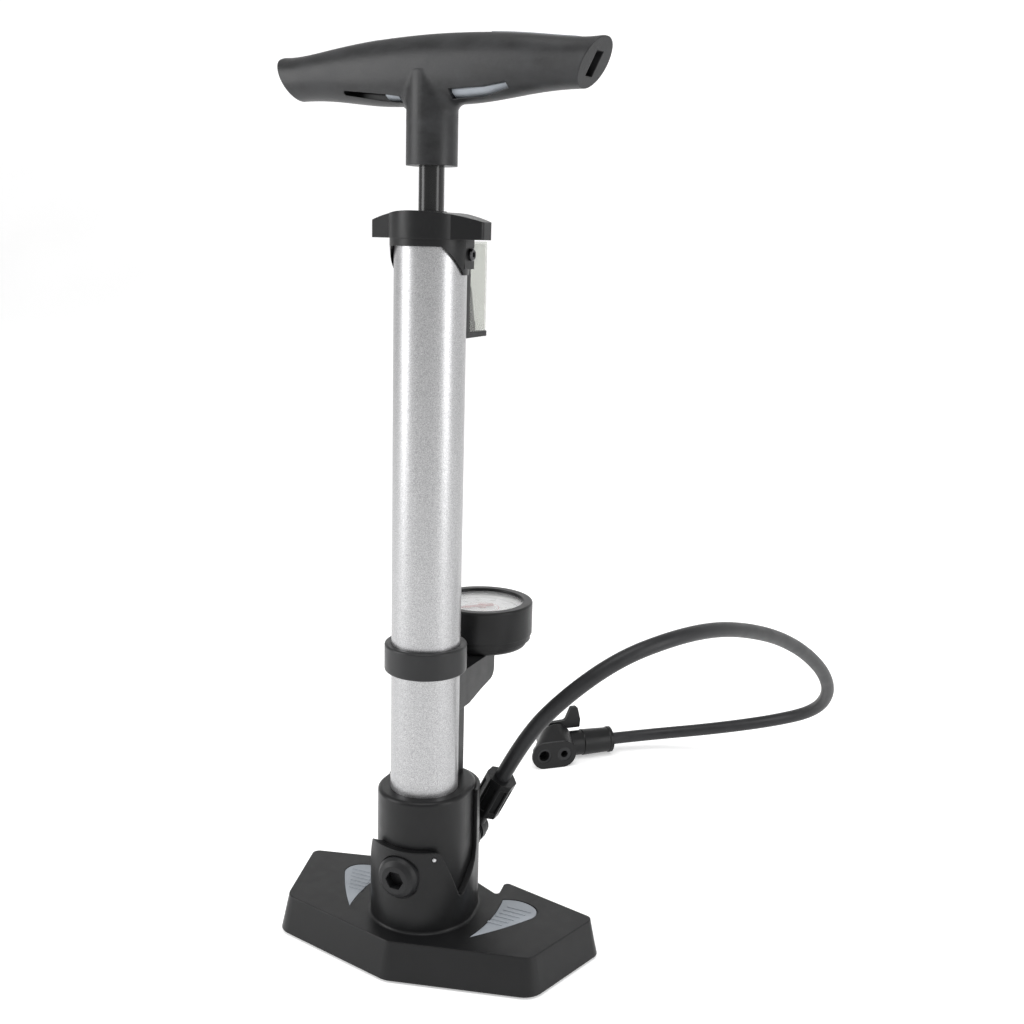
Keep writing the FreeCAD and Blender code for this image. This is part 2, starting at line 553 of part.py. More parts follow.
def make_gauge():
    place = Placement(Vector(0, number("gauge_y"), 0), Rotation())
    case = turned("case_body", [
        ("0", "gauge_floor"), ("case_radius - case_step", "gauge_floor"),
        ("case_radius - case_step", "gauge_floor + 4.5"), ("case_radius", "gauge_floor + 4.5"),
        ("case_radius", "case_top"), ("case_bore", "case_top"), ("case_bore", "dial_height"),
        ("case_bore - 2", "dial_height"), ("case_bore - 2", "gauge_floor + 2.5"),
        ("0", "gauge_floor + 2.5")],
        [("case_radius - case_step", "gauge_floor", "3")])
    tool = cylinder("case_nipple_hole", "4", "10", ("0", "nipple_y", "gauge_floor - 5"))
    case.Placement = place
    keep("gauge_case", cut("case_cut", case, [tool]))
    keep("gauge_bezel", turned("bezel_body", [
        ("case_radius", "bezel_bottom"), ("bezel_radius", "bezel_bottom"), ("bezel_radius", "bezel_top"),
        ("window_radius", "bezel_top"), ("window_radius", "case_top + lens_thickness"),
        ("case_radius", "case_top + lens_thickness")],
        [("bezel_radius", "bezel_top", "1.2"), ("window_radius", "bezel_top", "0.6")]), place)
    keep("gauge_lens", turned("lens_body", [
        ("0", "case_top"), ("case_radius - 0.1", "case_top"),
        ("case_radius - 0.1", "case_top + lens_thickness"), ("0", "case_top + lens_thickness")]), place)
    keep("gauge_dial", turned("dial_body", [
        ("1.6", "dial_height"), ("case_bore - 0.1", "dial_height"),
        ("case_bore - 0.1", "dial_height + dial_thickness"),
        ("1.6", "dial_height + dial_thickness")]), place)
    keep("spindle_bush", turned("bush_body", [
        ("spindle_radius + slide_gap", "gauge_floor + 2.5"), ("4", "gauge_floor + 2.5"), ("4", "166"),
        ("2.4", "166"), ("2.4", "176"), ("spindle_radius + slide_gap", "176")]), place)
    pointer = prism("pointer", "XY", "183.2", rounded([(-2, -7, 0.5), (2, -7, 0.5), (0.4, 20.5, 0),
                                                       (-0.4, 20.5, 0)]), "0.6")
    hub = turned("needle_hub", [("0", "165"), ("spindle_radius", "165"), ("spindle_radius", "182.6"),
                                ("2.6", "182.6"), ("2.6", "184"), ("0", "184.4")])
    keep("gauge_needle", fuse("needle_solid", [pointer, hub]),
         Placement(place.Base, Rotation(Vector(0, 0, 1), 135)))
    nipple = turned("nipple_body", [("1", "150"), ("4", "150"), ("4", "gauge_floor + 3.5"),
                                    ("2.6", "gauge_floor + 3.5"), ("2.6", "170"), ("1", "170")])
    keep("gauge_nipple", nipple, Placement(Vector(0, number("nipple_y"), 0), Rotation()))
    coil = doc.addObject("Part::Torus", "coil_tube")
    coil.Radius1 = number("gauge_y") - number("nipple_y")
    coil.Radius2 = 2.0
    coil.Angle3 = 280.0
    keep("bourdon_coil", coil, Placement(Vector(0, number("gauge_y"), 172.2),
                                         Rotation(Vector(0, 0, 1), -95)))


# ---------------------------------------------------------------- top cap, bush and holder

def make_top_cap():
    wing_x, wing_y = number("cap_wing_x"), number("cap_wing_y")
    plan = mirrored([(17.5, -12.9, 0), (wing_x, -wing_y, 2.5), (wing_x, wing_y, 2.5), (17.5, 12.9, 0)])
    wings = prism("cap_wings", "XY", "cap_seat", rounded(plan), "cap_top - cap_seat")
    core = cylinder("cap_core", "cap_radius", "cap_top - cap_seat", ("0", "0", "cap_seat"))
    half = 45.0
    drop = half ** 2 / (2 * number("cap_arch_radius"))
    below = number("skirt_bottom")
    arch = [("point", Vector(-half, below, 0)), ("point", Vector(half, below, 0)),
            ("point", Vector(half, number("cap_top") - drop, 0)), ("bow", Vector(0, number("cap_top"), 0)),
            ("point", Vector(-half, number("cap_top") - drop, 0))]
    envelope = prism("cap_arch", "XZ", "0", arch, "80", symmetric=True)
    head = common("cap_head", [fuse("cap_plan", [wings, core]), envelope])
    skirt = turned("cap_skirt", [("0", "skirt_bottom"), ("barrel_radius + 0.8", "skirt_bottom"),
                                 ("skirt_radius", "396"), ("skirt_radius", "cap_seat + 1"),
                                 ("0", "cap_seat + 1")])
    lug = prism("cap_lug", "XY", "skirt_bottom",
                rounded(mirrored([(number("lug_half_width"), 0, 0),
                                  (number("lug_half_width"), number("lug_rear"), 2)])),
                "cap_seat - skirt_bottom + 1")
    window = [("point", Vector(-19.6, 380, 0)), ("point", Vector(19.6, 380, 0)),
              ("bow", Vector(18.3, 389.5, 0)), ("point", Vector(14.4, 395.5, 0)),
              ("point", Vector(-14.4, 395.5, 0)), ("bow", Vector(-18.3, 389.5, 0))]
    front_window = prism("cap_window", "XZ", "0", window, "40")
    flat = block("cap_flat", ("0", "flat_front", "flat_bottom"),
                 ("flat_x", "flat_length", "cap_seat - flat_bottom + 1"))
    outside = block("cap_flat_side", ("flat_x", "flat_front", "skirt_bottom - 1"),
                    ("9", "30", "cap_seat - skirt_bottom + 1"))
    solid = fuse("cap_solid", [head, cut("cap_side", fuse("cap_wall", [skirt, flat]), [outside]), lug])
    tools = [front_window,
             cylinder("cap_barrel_room", "barrel_radius", "barrel_top - 370", ("0", "0", "370")),
             cylinder("cap_bush_hole", "bush_radius", "20", ("0", "0", "398")),
             cylinder("cap_screw_hole", "1.6", "10", ("15", "cap_screw_y", "cap_screw_z"), "X")]
    keep("top_cap", cut("cap_cut", solid, tools))
    keep("rod_bush", turned("rod_bush_body", [
        ("rod_radius + slide_gap", "barrel_top"), ("bush_radius", "barrel_top"), ("bush_radius", "410.6"),
        ("rod_radius + slide_gap", "410.6")]))
    keep("rod_wiper", turned("rod_wiper_body", [
        ("rod_radius + slide_gap", "410.6"), ("bush_radius", "410.6"), ("bush_radius", "412.2"),
        ("bush_radius - 1.2", "413.2"), ("rod_radius + slide_gap", "413.2")]))
    keep("top_bumper", turned("top_bumper_body", [
        ("rod_radius + 1.2", "394"), ("barrel_bore", "394"), ("barrel_bore", "barrel_top"),
        ("rod_radius + 1.2", "barrel_top")]))
    keep("cap_screw", turned("cap_screw_body", [
        ("0", "-1.6"), ("1.6", "-1.6"), ("1.6", "0"), ("3.2", "0"), ("3.2", "1.2"), ("2.6", "1.8"),
        ("1.5", "1.8"), ("1.5", "0.6"), ("0", "0.6")]),
         Placement(Vector(number("flat_x"), number("cap_screw_y"), number("cap_screw_z")),
                   Rotation(Vector(0, 1, 0), 90)))


def make_accessory_holder():
    half = number("lug_half_width")
    plate = prism("holder_plate", "XY", "shelf_bottom",
                  rounded([(-half, 10, 0), (half, 10, 0), (half, number("holder_plate_rear"), 1.5),
                           (-half, number("holder_plate_rear"), 1.5)]), "skirt_bottom - shelf_bottom")
    shelf = prism("holder_shelf", "XY", "shelf_bottom",
                  rounded([(-half, 14, 0), (half, 14, 0), (half, number("shelf_rear"), 3),
                           (-half, number("shelf_rear"), 3)]), "shelf_top - shelf_bottom")
    pegs = [cylinder("needle_peg", "1.5", "5", ("-5", "33", "shelf_top - 1")),
            cylinder("cone_peg", "2", "5", ("4.8", "35", "shelf_top - 1"))]
    room = cylinder("holder_barrel_room", "barrel_radius + 0.1", "60", ("0", "0", "340"))
    keep("accessory_holder", cut("holder_cut", fuse("holder_solid", [plate, shelf] + pegs), [room]))
    wide, front, rear = number("cover_half_width"), number("cover_front"), number("cover_rear")
    wall = number("cover_wall")
    shell = prism("cover_shell", "XY", "shelf_top + cover_gap",
                  rounded([(-wide, front, 0), (wide, front, 0), (wide, rear, 3), (-wide, rear, 3)]),
                  "cover_top - shelf_top - cover_gap")
    inside = prism("cover_room", "XY", "shelf_top - 1",
                   rounded([(-wide + wall, front - 2, 0), (wide - wall, front - 2, 0),
                            (wide - wall, rear - wall, 2), (-wide + wall, rear - wall, 2)]),
                   "cover_top - shelf_top - cover_wall + 1")
    keep("accessory_cover", cut("cover_cut", shell, [inside]))
    keep("ball_needle", turned("ball_needle_body", [
        ("0", "4.2"), ("1.5", "4.2"), ("1.5", "0"), ("3.4", "0"), ("3.4", "9"), ("1", "11"), ("0.9", "34"),
        ("0.5", "35"), ("0", "35")]), Placement(Vector(-5, 33, number("shelf_top")), Rotation()))
    keep("nozzle_cone", turned("nozzle_cone_body", [
        ("0", "4.2"), ("2", "4.2"), ("2", "0"), ("4", "0"), ("4", "5"), ("3.4", "6"), ("1.5", "24"),
        ("0", "24")]), Placement(Vector(4.8, 35, number("shelf_top")), Rotation()))


# ---------------------------------------------------------------- rod, piston and handle

def make_piston():
    keep("piston_rod", turned("piston_rod_body", [
        ("0", "piston_bottom - 5"), ("4", "piston_bottom - 5"), ("4", "piston_bottom"),
        ("rod_radius", "piston_bottom"),
        ("rod_radius", "rod_top - 1"), ("rod_radius - 1", "rod_top"), ("0", "rod_top")]))
    keep("piston_head", turned("piston_head_body", [
        ("rod_radius", "piston_bottom"), ("17.4", "piston_bottom"), ("17.4", "109.7"), ("15", "109.7"),
        ("15", "114.3"), ("17.4", "114.3"), ("17.4", "piston_top"), ("rod_radius", "piston_top")]))
    keep("piston_seal", turned("piston_seal_body", [
        ("15 + slide_gap", "110"), ("barrel_bore - slide_gap", "110"), ("barrel_bore - slide_gap", "114"),
        ("15 + slide_gap", "114")]))
    hexagon = [(7.5 * math.cos(math.radians(60 * turn)), 7.5 * math.sin(math.radians(60 * turn)), 0)
               for turn in range(6)]
    nut = prism("piston_nut_blank", "XY", "piston_bottom - 5", rounded(hexagon), "5")
    bore = cylinder("piston_nut_bore", "4", "20", ("0", "0", "piston_bottom - 10"))
    keep("piston_nut", cut("piston_nut_cut", nut, [bore]))


def handle_section(x):
    """Top, bottom and half depth of the bar's oval section at X."""
    span = number("wing_flat_x")
    share = min(abs(x), span) / span
    top = number("handle_top") - (number("handle_top") - number("wing_top")) * share ** 2
    swell = 0.5 + 0.5 * math.cos(math.pi * min(max((share - 0.3) / 0.7, 0), 1))
    low = number("wing_bottom") - (number("wing_bottom") - number("handle_bottom")) * swell
    depth = number("wing_depth") + (number("handle_depth") - number("wing_depth")) * (1 - share ** 2)
    return top, low, depth


def handle_loft(name, growth):
    """The bar as a loft through oval sections, grown or shrunk all round."""
    body = doc.addObject("PartDesign::Body", name)
    reach = number("handle_half_length") + 4
    places = (-reach, -78.0, -52.0, -26.0, 0.0, 26.0, 52.0, 78.0, reach)
    sections = []
    for count, x in enumerate(places):
        top, low, depth = handle_section(x)
        middle, half = (top + low) / 2, (top - low) / 2 + growth
        sketch = sketch_on(body, f"{name}_section_{count}", "YZ_Plane", str(x))
        oval = Part.Ellipse(Vector(0, middle + half, 0), Vector(depth + growth, middle, 0),
                            Vector(0, middle, 0))
        index = sketch.addGeometry(oval)
        sketch.addConstraint(Sketcher.Constraint("Block", index))
        sections.append(sketch)
    loft = body.newObject("PartDesign::AdditiveLoft", name + "_loft")
    loft.Profile = sections[0]
    loft.Sections = sections[1:]
    return body


def handle_end(name, side):
    """What lies beyond the bar's slanting end face."""
    end, top, under, low = (number(alias) for alias in
                            ("handle_half_length", "wing_top", "wing_end_x", "wing_bottom"))
    lean = (end - under) / (top - low)
    corners = [(end + lean * 20, top + 20), (under - lean * 20, low - 20), (end + 40, low - 20),
               (end + 40, top + 20)]
    return prism(name, "XZ", "0", rounded([(side * x, z, 0) for x, z in corners]), "60", symmetric=True)


def grip_strip(side, name, outer, inner):
    """A grey grip in the wing's rear top, with a tongue that shows in the slot at the front."""
    start, end = 34.0, 86.0
    plan = [(side * start, 0.5, 2), (side * start, 16, 0), (side * (end + 6), 16, 0), (side * end, 0.5, 8)]
    window = prism(f"grip_window_{name}", "XY", "481", rounded(plan), "30")
    pocket = cut(f"grip_pocket_{name}", window, [inner])
    skin = common(f"grip_skin_{name}", [pocket, outer])
    tongue = slot_box(f"grip_tongue_{name}", side, 17.0, 60.0, 466.0, 474.0, 1.0, 6.0)
    riser = slot_box(f"grip_riser_{name}", side, 46.0, 60.0, 473.0, 497.0, 1.0, 6.0)
    front_end = 50.0 if side > 0 else 25.0
    front = slot_box(f"grip_front_{name}", side, 17.0, front_end, 466.0, 474.0, -7.0, 2.0)
    core = common(f"grip_core_{name}", [fuse(f"grip_links_{name}", [tongue, riser, front]), inner])
    return [pocket, core], fuse(f"grip_{name}", [skin, core])


def slot_box(name, side, near_x, far_x, low_z, high_z, low_y, high_y):
    low_x = near_x if side > 0 else -far_x
    return block(name, (str(low_x), str(low_y), str(low_z)),
                 (str(far_x - near_x), str(high_y - low_y), str(high_z - low_z)))


def front_slot(name, corners):
    """A slot through the bar's front wall, along its lower edge."""
    return prism(name, "XZ", "0", rounded([(x, z, 0) for x, z in corners]), "30")


def make_handle():
    turn = Placement(Vector(0, 0, 0), Rotation(Vector(0, 0, 1), number("handle_turn")))
    bar = handle_loft("handle_bar", 0.0)
    outer = handle_loft("handle_bar_outer", number("insert_rise"))
    inner = handle_loft("handle_bar_inner", -number("insert_sink"))
    stem = cylinder("handle_stem", "stem_radius", "handle_bottom - stem_bottom + 16",
                    ("0", "0", "stem_bottom"))
    joined = fuse("handle_solid", [bar, stem])
    solid = round_edges("handle_web", joined, "6.5", lambda edge: 450 < edge.BoundBox.ZMin < 472
                        and edge.BoundBox.XLength < 40 and edge.BoundBox.YLength > 5)
    tools = [
        handle_end("handle_end_right", 1), handle_end("handle_end_left", -1),
        cylinder("handle_rod_hole", "rod_radius", "rod_top - 430", ("0", "0", "430")),
        cylinder("handle_nut_room", "9.2", "10", ("0", "0", "rod_top - 10")),
        front_slot("slot_right", [(17, 466.9), (36.2, 467.5), (51.2, 470.8), (50.5, 473.5), (36.1, 471.8),
                                  (17, 471.4)]),
        front_slot("slot_left", [(-51, 472), (-50, 470.8), (-27, 467.5), (-14, 466.2), (-14, 468.9),
                                 (-24, 470.4), (-50, 473)]),
        slot_box("end_slot_right", 1, 84, 110, 475, 486, -3, 3),
        slot_box("end_slot_left", -1, 84, 110, 475, 486, -3, 3),
    ]
    for side, name in ((-1, "left"), (1, "right")):
        rooms, strip = grip_strip(side, name, outer, inner)
        tools += rooms
        keep("handle_insert_" + name, strip, turn)
    keep("handle_body", cut("handle_cut", solid, tools), turn)
    keep("handle_nut", turned("handle_nut_body", [
        ("rod_radius", "rod_top - 10"), ("9.2", "rod_top - 10"), ("9.2", "rod_top"),
        ("rod_radius", "rod_top")]))


# ---------------------------------------------------------------- hose and its fittings

def make_swivel():
    centre = Vector(number("outlet_x"), number("eye_y"), number("outlet_z"))
    along_y = Rotation(Vector(1, 0, 0), -90)
    tilted = Rotation(Vector(0, 1, 0), number("sleeve_tilt"))
    eye = cylinder("swivel_eye", "eye_radius", "5", ("outlet_x", "eye_y - 2.5", "outlet_z"), "Y")
    neck = turned("swivel_neck", [
        ("0", "eye_radius - 0.3"), ("4.6", "eye_radius - 0.3"), ("4.6", "sleeve_start"),
        ("3.2", "sleeve_start"), ("3.2", "sleeve_end - 8"), ("0", "sleeve_end - 8")])
    neck.Placement = Placement(centre, tilted)
    bore = cylinder("swivel_bore", "4", "20", ("outlet_x", "eye_y - 10", "outlet_z"), "Y")
    keep("hose_swivel", cut("swivel_cut", fuse("swivel_solid", [eye, neck]), [bore]))
    bolt_start = number("eye_y") - 19
    keep("swivel_bolt", turned("swivel_bolt_body", [
        ("1.2", "0"), ("3.9", "0"), ("3.9", "22.5"), ("7", "22.5"), ("7", "26.5"), ("6", "27.5"),
        ("0", "27.5"), ("0", "20"), ("1.2", "20")]),
         Placement(Vector(centre.x, bolt_start, centre.z), along_y))
    keep("swivel_spacer", turned("swivel_spacer_body", [
        ("4", "0"), ("6.5", "0"), ("6.5", "eye_y - 3.5 - spacer_start"),
        ("4", "eye_y - 3.5 - spacer_start")]),
         Placement(Vector(centre.x, number("spacer_start"), centre.z), along_y))
    washers = []
    for count, start in enumerate((-3.5, 2.5)):
        washer = turned(f"washer_{count}", [("4", "0"), ("7.2", "0"), ("7.2", "1"), ("4", "1")])
        washer.Placement = Placement(centre + Vector(0, start, 0), along_y)
        washers.append(washer)
    keep("swivel_washers", group("washer_group", washers))
    radius = number("sleeve_radius")
    octagon = [(radius * math.cos(math.radians(45 * turn + 22.5)),
                radius * math.sin(math.radians(45 * turn + 22.5)), 1.2) for turn in range(8)]
    grip = prism("sleeve_grip", "XY", "sleeve_start", rounded(octagon), "sleeve_end - sleeve_start")
    tools = [cylinder("sleeve_bore", "3.2", "sleeve_end - sleeve_start - 8", ("0", "0", "sleeve_start"))]
    for turn in range(8):
        panel = prism(f"sleeve_panel_{turn}", "XY", "sleeve_start + 4",
                      rounded([(radius - 1.4, -2.2, 0), (radius + 2, -2.2, 0), (radius + 2, 2.2, 0),
                               (radius - 1.4, 2.2, 0)]), "sleeve_end - sleeve_start - 8")
        panel.Placement = Placement(Vector(0, 0, 0), Rotation(Vector(0, 0, 1), 45 * turn))
        tools.append(panel)
    sleeve = cut("sleeve_cut", grip, tools)
    keep("hose_sleeve", sleeve, Placement(centre, tilted))


def hose_path(points):
    """Straight runs joined by tangent arcs, one arc at each inner point."""
    edges, radii = [], []
    start = points[0]
    for before, corner, after in zip(points, points[1:], points[2:]):
        inward, outward = before - corner, after - corner
        half_turn = (math.pi - inward.getAngle(outward)) / 2
        reach = ARC_SHARE * min(inward.Length, outward.Length)
        radii.append(reach / math.tan(half_turn))
        inward.normalize()
        outward.normalize()
        first, last = corner + inward * reach, corner + outward * reach
        middle = (inward + outward).normalize()
        depth = radii[-1] / math.cos(half_turn) - radii[-1]
        edges.append(Part.LineSegment(start, first).toShape())
        edges.append(Part.Arc(first, corner + middle * depth, last).toShape())
        start = last
    edges.append(Part.LineSegment(start, points[-1]).toShape())
    return Part.Wire(edges), radii


def make_hose():
    points = [Vector(*point) for point in HOSE_ROUTE]
    path, radii = hose_path(points)
    section = Part.makeCircle(number("hose_radius"), points[0], points[1] - points[0])
    tube = path.makePipeShell([Part.Wire([section])], True, False)
    hose = doc.addObject("Part::Feature", "hose_tube")
    hose.Shape = tube
    keep("hose", hose)
    section_area = math.pi * number("hose_radius") ** 2
    print("hose length", round(path.Length, 1), "radii", [round(radius, 1) for radius in radii])
    print("hose volume", round(tube.Volume, 1), "section x length", round(section_area * path.Length, 1))


# ---------------------------------------------------------------- pump head

def head_place(local=None):
    """The head lies on the floor, its face turned towards the pump's front."""
    place = Placement(Vector(number("head_x"), number("head_y"), 0),
                      Rotation(Vector(0, 0, 1), number("head_turn")))
    return place if local is None else place.multiply(local)


def make_head():
    width, height, axis_z = number("head_width"), number("head_height"), number("head_axis_z")
    body = doc.addObject("PartDesign::Body", "head_loft_body")
    sections = []
    shapes = [("0", stadium(0, axis_z, width, height)),
              ("head_straight", stadium(0, axis_z, width, height)),
              ("head_hump", stadium(7.5, 13.9, 28, 27)),
              ("head_depth", stadium(9, 13, 25.5, 24))]
    for count, (depth, path) in enumerate(shapes):
        sketch = sketch_on(body, f"head_section_{count}", "XZ_Plane", str(-number(depth)))
        draw(sketch, path)
        sections.append(sketch)
    loft = body.newObject("PartDesign::AdditiveLoft", "head_loft")
    loft.Profile = sections[0]
    loft.Sections = sections[1:]
    loft.Ruled = True
    neck = cylinder("head_neck", "neck_radius", "18.5", ("11", "neck_y", "head_axis_z"), "X")
    hole, far = number("valve_hole_x"), -number("valve_hole_x")
    tools = [
        cylinder("seal_bore_left", "seal_bore", "13", (str(far), "-1", "head_axis_z"), "Y"),
        cylinder("seal_bore_right", "seal_bore", "13", (str(hole), "-1", "head_axis_z"), "Y"),
        block("pusher_room", ("-10", "11.8", "5.2"), ("24", "4.2", "10.6")),
        block("lever_room", ("2.7", "20.5", "6.5"), ("12.6", "14", "30")),
        cylinder("pin_hole", "lever_pin_radius", "22", ("-2", "lever_y", "lever_z"), "X"),
    ]
    knuckle = cylinder("lever_knuckle", "knuckle_radius", "12", ("14", "lever_y", "lever_z"), "X")
    swing = cut("lever_swing_room", block("lever_swing_block", ("15", "24.4", "11.4"), ("9", "16", "30")),
                [knuckle])
    solid = fuse("head_solid", [cut("head_shell", body, [swing]), neck])
    keep("head_body", cut("head_cut", solid, tools), head_place())
    lying = Rotation(Vector(1, 0, 0), -90)
    seals = (("schrader_seal", far, "schrader_radius"), ("presta_seal", hole, "presta_radius"))
    for name, x, bore in seals:
        seal = turned(name + "_body", [(bore, "0"), ("seal_bore", "0"), ("seal_bore", "8.6"),
                                       (bore, "8.6")])
        keep(name, seal, head_place(Placement(Vector(x, 0.4, axis_z), lying)))
    pusher = [block("pusher_plate", ("-9.6", "13.2", "5.6"), ("23.2", "2.4", "9.8"))]
    for count, x in enumerate((far, hole)):
        start = (str(x), "10.3", "head_axis_z")
        pusher.append(cylinder(f"pusher_disc_{count}", "seal_bore - 0.3", "1.5", start, "Y"))
        pusher.append(cylinder(f"pusher_stem_{count}", "1.2", "4", start, "Y"))
    keep("seal_pusher", fuse("pusher_solid", pusher), head_place())
    keep("head_collar", turned("head_collar_body", [
        ("0", "0"), ("collar_radius - 0.6", "0"), ("collar_radius", "0.6"),
        ("collar_radius - 0.6", "collar_length - 3"), ("collar_radius", "collar_length - 2.4"),
        ("collar_radius", "collar_length"), ("0", "collar_length")]),
         head_place(Placement(Vector(number("collar_start"), number("neck_y"), axis_z),
                              Rotation(Vector(0, 1, 0), 90))))
    hub = cylinder("lever_hub", "lever_hub_radius", "12", ("3", "lever_y", "lever_z"), "X")
    blade_path = [(3, 14, 0), (15, 14, 0), (15, 21, 0), (30.6, 21, 1), (31, 27.5, 4), (28.3, 38, 1.5),
                  (23, 38, 1.5), (18.6, 27.5, 3), (3, 26.5, 2)]
    blade = prism("lever_blade", "XZ", str(-number("lever_y") - 2), rounded(blade_path), "4")
    pin_start = ("-2", "lever_y", "lever_z")
    pin_bore = cylinder("lever_pin_bore", "lever_pin_radius + slide_gap", "30", pin_start, "X")
    keep("head_lever", cut("lever_cut", fuse("lever_solid", [hub, blade]), [pin_bore]), head_place())
    pin = cylinder("lever_pin_rod", "lever_pin_radius", "22", pin_start, "X")
    keep("lever_pin", group("lever_pin_group", [pin]), head_place())


# ---------------------------------------------------------------- build, test and write

make_base()
make_base_trim()
make_pump_foot()
make_barrel()
make_gauge()
make_top_cap()
make_accessory_holder()
make_piston()
make_handle()
make_swivel()
make_hose()
make_head()
doc.recompute()

for item in doc.Objects:
    if "Invalid" in item.State or "Error" in item.State:
        raise RuntimeError(f"{item.Name} ({item.Label}) is {item.State}")
for label, item in SUBPARTS.items():
    if item.Shape.isNull() or not item.Shape.isValid() or item.Shape.Volume <= 0:
        raise RuntimeError(f"{label} has no valid solid")
os.makedirs("parts", exist_ok=True)
for label, item in SUBPARTS.items():
    item.Shape.exportStep(os.path.join("parts", label + ".step"))
    print(label, len(item.Shape.Solids), "solid", round(item.Shape.Volume), "mm3")
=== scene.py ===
import json
import math

import bmesh
import bpy
from mathutils import Matrix, Vector


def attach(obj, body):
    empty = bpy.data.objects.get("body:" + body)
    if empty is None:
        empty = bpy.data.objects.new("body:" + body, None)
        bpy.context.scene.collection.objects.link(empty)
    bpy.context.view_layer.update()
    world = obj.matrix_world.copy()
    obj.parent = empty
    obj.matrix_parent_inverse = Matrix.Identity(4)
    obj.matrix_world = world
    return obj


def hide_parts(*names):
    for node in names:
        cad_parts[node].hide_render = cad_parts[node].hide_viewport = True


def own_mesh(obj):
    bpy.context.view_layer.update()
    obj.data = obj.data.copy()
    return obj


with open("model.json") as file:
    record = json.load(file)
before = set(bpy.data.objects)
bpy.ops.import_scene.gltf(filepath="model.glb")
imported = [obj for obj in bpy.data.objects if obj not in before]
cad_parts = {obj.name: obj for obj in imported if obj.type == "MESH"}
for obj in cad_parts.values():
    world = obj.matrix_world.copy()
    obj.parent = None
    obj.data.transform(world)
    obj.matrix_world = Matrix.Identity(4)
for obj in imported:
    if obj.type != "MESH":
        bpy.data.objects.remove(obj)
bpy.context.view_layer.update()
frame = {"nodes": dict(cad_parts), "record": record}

MM = 0.001
nodes = frame["nodes"]


# ---------------------------------------------------------------- camera

def studio_camera():
    """Stands in front and to the right, a little above the middle of the pump, looking down."""
    azimuth, pitch, roll, yaw = (math.radians(angle) for angle in (27.22, 12.14, 1.52, 3.88))
    distance, height = 671.88 * MM, 400.93 * MM
    ahead = Vector((-math.sin(azimuth), math.cos(azimuth), 0))
    right = Vector((math.cos(azimuth), math.sin(azimuth), 0))
    up = Vector((0, 0, 1))
    ahead, right = (ahead * math.cos(yaw) + right * math.sin(yaw),
                    right * math.cos(yaw) - ahead * math.sin(yaw))
    ahead, up = (ahead * math.cos(pitch) - up * math.sin(pitch),
                 up * math.cos(pitch) + ahead * math.sin(pitch))
    right, up = (right * math.cos(roll) + up * math.sin(roll),
                 up * math.cos(roll) - right * math.sin(roll))
    data = bpy.data.cameras.new("studio_camera")
    data.lens = 44.81
    data.sensor_width = 36.0
    data.clip_start = 0.01
    camera = bpy.data.objects.new("studio_camera", data)
    place = Vector((math.sin(azimuth) * distance, -math.cos(azimuth) * distance, height))
    turn = Matrix((right, up, -ahead)).transposed()
    camera.matrix_world = Matrix.Translation(place) @ turn.to_4x4()
    bpy.context.scene.collection.objects.link(camera)
    bpy.context.scene.camera = camera


studio_camera()


# ---------------------------------------------------------------- hose

HOSE_ROUTE = [
    (28.29, 45.0, 90.69), (42.57, 45.0, 119.33), (66.0, 48.0, 147.0), (91.0, 64.0, 168.0),
    (114.0, 92.0, 176.0), (130.0, 128.0, 174.0), (142.0, 170.0, 163.0), (153.0, 214.0, 147.0),
    (163.0, 256.0, 126.0), (171.0, 293.0, 101.0), (171.0, 322.0, 76.0), (158.0, 343.0, 53.0),
    (126.0, 353.0, 36.0), (79.0, 352.0, 21.0), (24.59, 338.17, 10.5), (2.65, 317.71, 10.5),
]
HOSE_RADIUS = 4.65 * MM


def make_hose():
    """The hose as a round curve along its route."""
    curve = bpy.data.curves.new("hose_line", "CURVE")
    curve.dimensions = "3D"
    spline = curve.splines.new("NURBS")
    spline.points.add(len(HOSE_ROUTE) - 1)
    for point, place in zip(spline.points, HOSE_ROUTE):
        point.co = (*(MM * value for value in place), 1)
    spline.order_u = 3
    spline.use_endpoint_u = True
    spline.resolution_u = 16
    curve.bevel_depth = HOSE_RADIUS
    curve.bevel_resolution = 10
    curve.use_fill_caps = True
    hose = bpy.data.objects.new("hose_tube", curve)
    bpy.context.scene.collection.objects.link(hose)
    return hose


hose = make_hose()


# ---------------------------------------------------------------- node tree helpers

